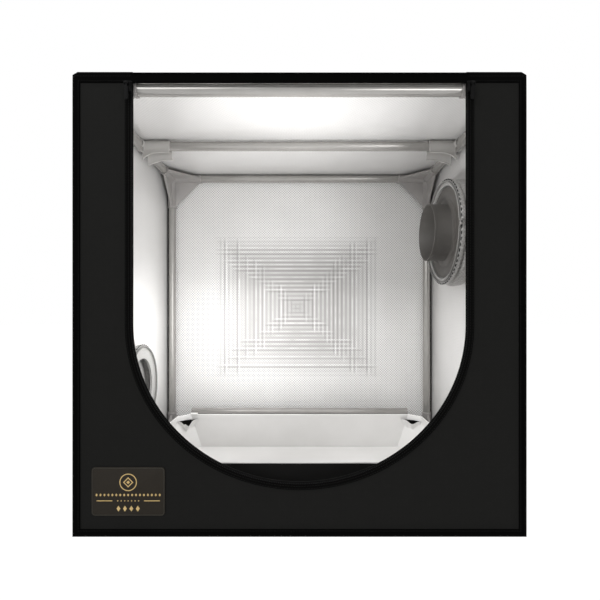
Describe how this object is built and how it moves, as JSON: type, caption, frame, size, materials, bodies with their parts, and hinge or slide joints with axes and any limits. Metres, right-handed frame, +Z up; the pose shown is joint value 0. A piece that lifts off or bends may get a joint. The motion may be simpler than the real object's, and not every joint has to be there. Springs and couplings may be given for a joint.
{
  "type": "indoor grow tent",
  "caption": "Box-shaped fabric grow tent on a push-fit pole frame, with an arched zip door thrown back over the roof, wall ports, a duct flange and a spill tray.",
  "frame": {"origin": "middle of the flat underside of the floor panel, on the surface the tent stands on", "axes": "+Z up; the door opening faces -Y; +X is the side with the duct flange"},
  "size_m": [0.6, 0.4235, 0.614],
  "materials": {
    "black_fabric": "matt woven outside, silver lining inside",
    "black_binding": "matt ribbed tape",
    "zip_tape": "matt woven tape with nylon coil",
    "silver_lining": "metallic coated fabric",
    "grey_pole": "satin powder coat",
    "grey_plastic": "moulded nylon",
    "flange_plastic": "moulded, satin",
    "black_plastic": "moulded, satin",
    "zip_metal": "black nickel plate",
    "drawcord": "braided cord",
    "tray_sheet": "coated sheet, black outside and white inside",
    "label": "printed patch"
  },
  "bodies": {
    "shell": {"pole_bottom_front": "grey_pole", "pole_bottom_back": "grey_pole", "pole_bottom_left": "grey_pole", "pole_bottom_right": "grey_pole", "pole_top_front": "grey_pole", "pole_top_back": "grey_pole", "pole_top_left": "grey_pole", "pole_top_right": "grey_pole", "pole_upright_front_left": "grey_pole", "pole_upright_front_right": "grey_pole", "pole_upright_back_left": "grey_pole", "pole_upright_back_right": "grey_pole", "corner_bottom_front_left": "grey_plastic", "corner_bottom_front_right": "grey_plastic", "corner_bottom_back_left": "grey_plastic", "corner_bottom_back_right": "grey_plastic", "corner_top_front_left": "grey_plastic", "corner_top_front_right": "grey_plastic", "corner_top_back_left": "grey_plastic", "corner_top_back_right": "grey_plastic", "front_panel": "black_fabric", "back_panel": "black_fabric", "left_panel": "black_fabric", "right_panel": "black_fabric", "roof_panel": "black_fabric", "floor_panel": "black_fabric", "front_binding": "black_binding", "back_binding": "black_binding", "top_left_binding": "black_binding", "top_right_binding": "black_binding", "bottom_left_binding": "black_binding", "bottom_right_binding": "black_binding", "door_zip_tape": "zip_tape", "left_port_sleeve": "silver_lining", "right_port_sleeve": "silver_lining", "left_port_sock": "black_fabric", "left_port_drawcord": "drawcord", "right_port_drawcord": "drawcord", "left_cord_lock": "black_plastic", "right_cord_lock": "black_plastic", "label_patch": "label"},
    "door": {"door_upper": "black_fabric"},
    "door_foot": {"door_lower": "black_fabric"},
    "left_slider": {"zip_slider_left": "zip_metal"},
    "left_pull": {"zip_pull_left": "zip_metal"},
    "right_slider": {"zip_slider_right": "zip_metal"},
    "right_pull": {"zip_pull_right": "zip_metal"},
    "hanging_bar": {"crossbar": "grey_pole", "crossbar_clip_left": "grey_plastic", "crossbar_clip_right": "grey_plastic"},
    "flange": {"duct_flange": "flange_plastic"},
    "left_button": {"left_lock_button": "black_plastic"},
    "right_button": {"right_lock_button": "black_plastic"},
    "tray": {"spill_tray": "tray_sheet"}
  },
  "joints": [
    {"name": "door_hinge", "type": "hinge", "parent": "shell", "child": "door", "pos_m": [0, -0.20765, 0.61115], "axis": [1, 0, 0], "range_deg": [0, 270]},
    {"name": "door_fold", "type": "hinge", "parent": "door", "child": "door_foot", "pos_m": [0, 0.19235, 0.61215], "axis": [-1, 0, 0], "range_deg": [0, 180]},
    {"name": "left_zip_slide", "type": "slide", "parent": "shell", "child": "left_slider", "axis": [0, 0, 1], "range_m": [-0.3, 0]},
    {"name": "left_pull_swing", "type": "hinge", "parent": "left_slider", "child": "left_pull", "pos_m": [-0.225, -0.2151, 0.595], "axis": [-1, 0, 0], "range_deg": [0, 170]},
    {"name": "right_zip_slide", "type": "slide", "parent": "shell", "child": "right_slider", "axis": [0, 0, 1], "range_m": [-0.3, 0]},
    {"name": "right_pull_swing", "type": "hinge", "parent": "right_slider", "child": "right_pull", "pos_m": [0.225, -0.2151, 0.595], "axis": [-1, 0, 0], "range_deg": [0, 170]},
    {"name": "crossbar_slide", "type": "slide", "parent": "shell", "child": "hanging_bar", "axis": [0, 1, 0], "range_m": [-0.1, 0.1]},
    {"name": "flange_slide", "type": "slide", "parent": "shell", "child": "flange", "axis": [-1, 0, 0], "range_m": [0, 0.05]},
    {"name": "left_button_press", "type": "slide", "parent": "shell", "child": "left_button", "axis": [0, 0, -1], "range_m": [0, 0.0035], "stiffness_N_per_m": 400},
    {"name": "right_button_press", "type": "slide", "parent": "shell", "child": "right_button", "axis": [0, 0, -1], "range_m": [0, 0.0035], "stiffness_N_per_m": 400},
    {"name": "tray_lift", "type": "slide", "parent": "shell", "child": "tray", "axis": [0, 0, 1], "range_m": [0, 0.25]}
  ]
}
